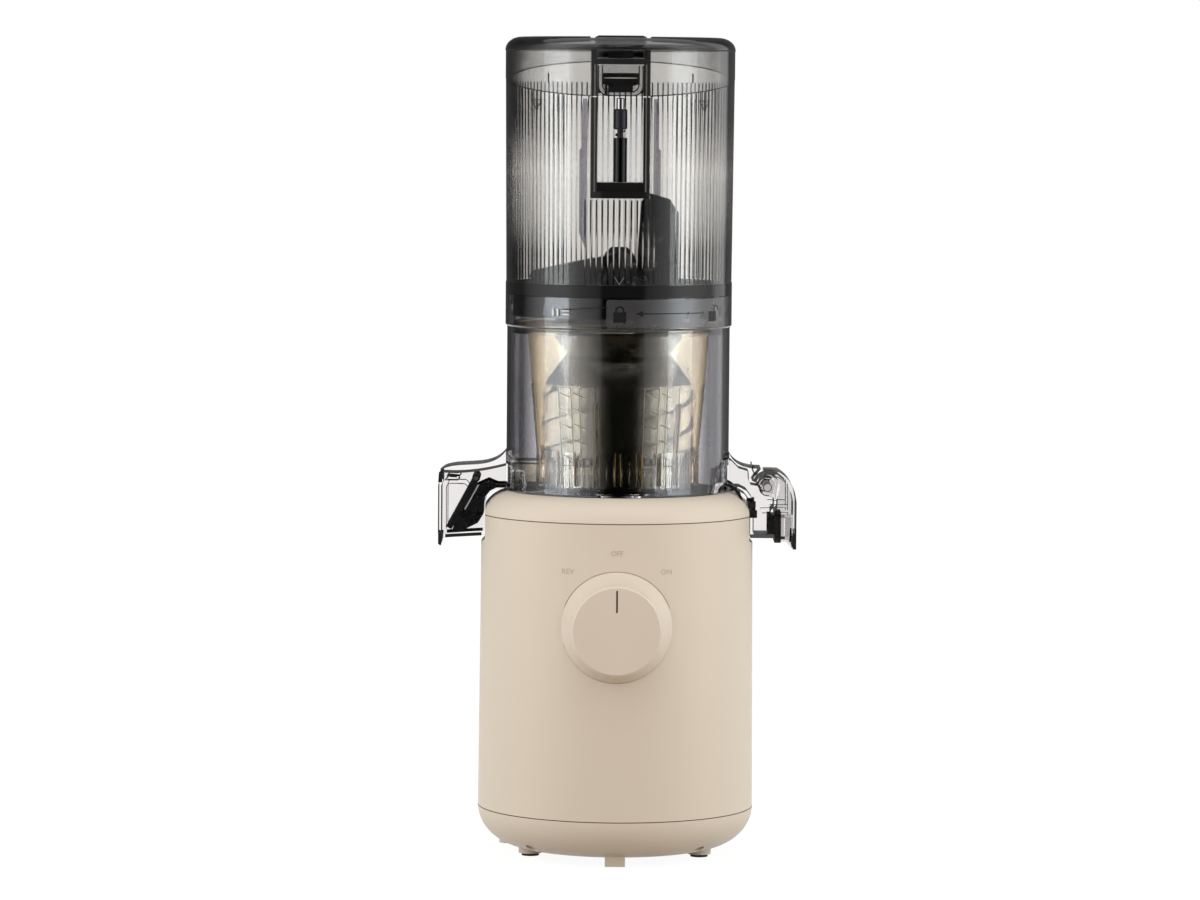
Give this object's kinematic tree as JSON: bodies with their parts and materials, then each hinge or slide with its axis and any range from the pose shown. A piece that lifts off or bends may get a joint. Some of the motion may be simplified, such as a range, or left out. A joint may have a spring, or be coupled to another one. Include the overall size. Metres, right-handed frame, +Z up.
{
  "type": "cold press juicer",
  "caption": "Upright cold press juicer with a ribbed hopper and hinged lid, an amber strainer round a dark juicing screw, two spouts and a base with a turning knob.",
  "frame": {"origin": "where the axis of the juicing screw meets the surface that the juicer stands on", "axes": "+Z up along the juicing axis, +X towards the juice spout, -Y towards the front with the knob"},
  "size_m": [0.197, 0.172, 0.45],
  "materials": {
    "ivory": "satin warm ivory plastic with a fine grain",
    "knob_ivory": "smooth satin ivory plastic",
    "smoke": "smoky clear plastic with moulded ribs",
    "smoke_dark": "dark smoky clear plastic",
    "clear": "clear plastic",
    "clear_spout": "clear plastic",
    "amber": "amber clear plastic",
    "screw_dark": "glossy near-black olive plastic",
    "black_plastic": "black plastic",
    "black_rubber": "black silicone or rubber",
    "chrome": "polished",
    "steel": "plain steel",
    "rod_grey": "grey moulded plastic",
    "motor_steel": "pressed steel can",
    "gear_nylon": "natural nylon",
    "gearbox": "glass-filled plastic",
    "bronze": "sintered bronze",
    "board_green": "printed board",
    "board_dark": "capacitor sleeves and heat sink"
  },
  "bodies": {
    "base": {"base_shell": "ivory", "shoulder_cap": "ivory", "base_pan": "ivory", "cord_gland": "black_plastic", "rotary_switch": "black_plastic", "motor_case": "motor_steel", "motor_end_bell": "black_plastic", "gearbox_plate": "gearbox", "gearbox_cover": "gearbox", "shaft_seal": "black_rubber", "control_board": "board_green", "lid_sensor": "gearbox", "rubber_feet": "black_rubber", "pan_screws": "steel", "motor_screws": "steel", "gearbox_screws": "steel", "output_bearings": "bronze", "counter_bearings": "bronze", "board_parts": "board_dark", "seat_ring": "black_rubber"},
    "knob": {"knob": "knob_ivory", "switch_shaft": "steel"},
    "drive": {"output_gear": "gear_nylon", "drive_shaft": "steel"},
    "counter": {"counter_gear": "steel", "counter_shaft": "steel"},
    "motor": {"motor_shaft": "steel", "cooling_fan": "gear_nylon"},
    "chamber": {"chamber_bowl": "clear", "chamber_gasket": "black_rubber", "strainer": "amber", "juice_spout": "clear_spout", "juice_mouth_ring": "black_rubber", "juice_cap_pins": "steel", "pulp_spout": "clear_spout", "pulp_chute": "black_plastic", "pulp_flap_pin": "steel"},
    "screw": {"auger": "screw_dark", "auger_wing": "screw_dark"},
    "juice_cap": {"juice_cap": "clear_spout", "juice_cap_seal": "black_rubber"},
    "pulp_flap": {"pulp_flap": "black_rubber"},
    "hopper": {"hopper_wall": "smoke", "hopper_ring": "smoke_dark", "latch_channel": "smoke_dark", "rod_sleeve": "clear", "hinge_pin": "steel"},
    "lid": {"lid_top": "smoke_dark", "lid_skirt": "clear", "latch_frame": "smoke_dark", "latch_springs": "steel"},
    "latch": {"latch_button": "smoke_dark"},
    "interlock": {"interlock_rod": "rod_grey", "rod_tip": "chrome", "interlock_spring": "steel"}
  },
  "joints": [
    {"name": "knob_turn", "type": "hinge", "parent": "base", "child": "knob", "pos_m": [0, -0.09, 0.1322], "axis": [0, 1, 0], "range_deg": [-40, 40]},
    {"name": "drive_spin", "type": "hinge", "parent": "base", "child": "drive", "pos_m": [0, 0, 0.14], "axis": [0, 0, 1], "continuous": true},
    {"name": "counter_spin", "type": "hinge", "parent": "base", "child": "counter", "pos_m": [0.0375, 0, 0.13], "axis": [0, 0, 1], "continuous": true},
    {"name": "motor_spin", "type": "hinge", "parent": "base", "child": "motor", "pos_m": [0.0075, 0, 0.1], "axis": [0, 0, 1], "continuous": true},
    {"name": "chamber_lift", "type": "slide", "parent": "base", "child": "chamber", "axis": [0, 0, 1], "range_m": [0, 0.07]},
    {"name": "screw_spin", "type": "hinge", "parent": "chamber", "child": "screw", "pos_m": [0, 0, 0.25], "axis": [0, 0, 1], "continuous": true},
    {"name": "juice_cap_turn", "type": "hinge", "parent": "chamber", "child": "juice_cap", "pos_m": [0.0824, 0, 0.2041], "axis": [0, -1, 0], "range_deg": [0, 50]},
    {"name": "pulp_flap_turn", "type": "hinge", "parent": "chamber", "child": "pulp_flap", "pos_m": [-0.0777, 0, 0.2079], "axis": [0, 1, 0], "range_deg": [0, 4], "stiffness_Nm_per_rad": 0.05, "springref_deg": -11.46},
    {"name": "hopper_turn", "type": "hinge", "parent": "chamber", "child": "hopper", "pos_m": [0, 0, 0.3], "axis": [0, 0, 1], "range_deg": [0, 60]},
    {"name": "lid_open", "type": "hinge", "parent": "hopper", "child": "lid", "pos_m": [0, 0.0675, 0.441], "axis": [-1, 0, 0], "range_deg": [0, 105]},
    {"name": "latch_press", "type": "slide", "parent": "lid", "child": "latch", "axis": [0, 1, 0], "range_m": [0, 0.002], "stiffness_N_per_m": 600, "springref_m": -0.003, "deforming": ["latch_springs"]},
    {"name": "interlock_press", "type": "slide", "parent": "hopper", "child": "interlock", "axis": [0, 0, -1], "range_m": [0, 0.004], "stiffness_N_per_m": 250, "springref_m": -0.006, "deforming": ["interlock_spring"]}
  ],
  "couplings": [
    {"joint": "counter_spin", "follows": "drive_spin", "ratio": -4},
    {"joint": "motor_spin", "follows": "drive_spin", "ratio": 16},
    {"joint": "screw_spin", "follows": "drive_spin", "ratio": 1}
  ]
}
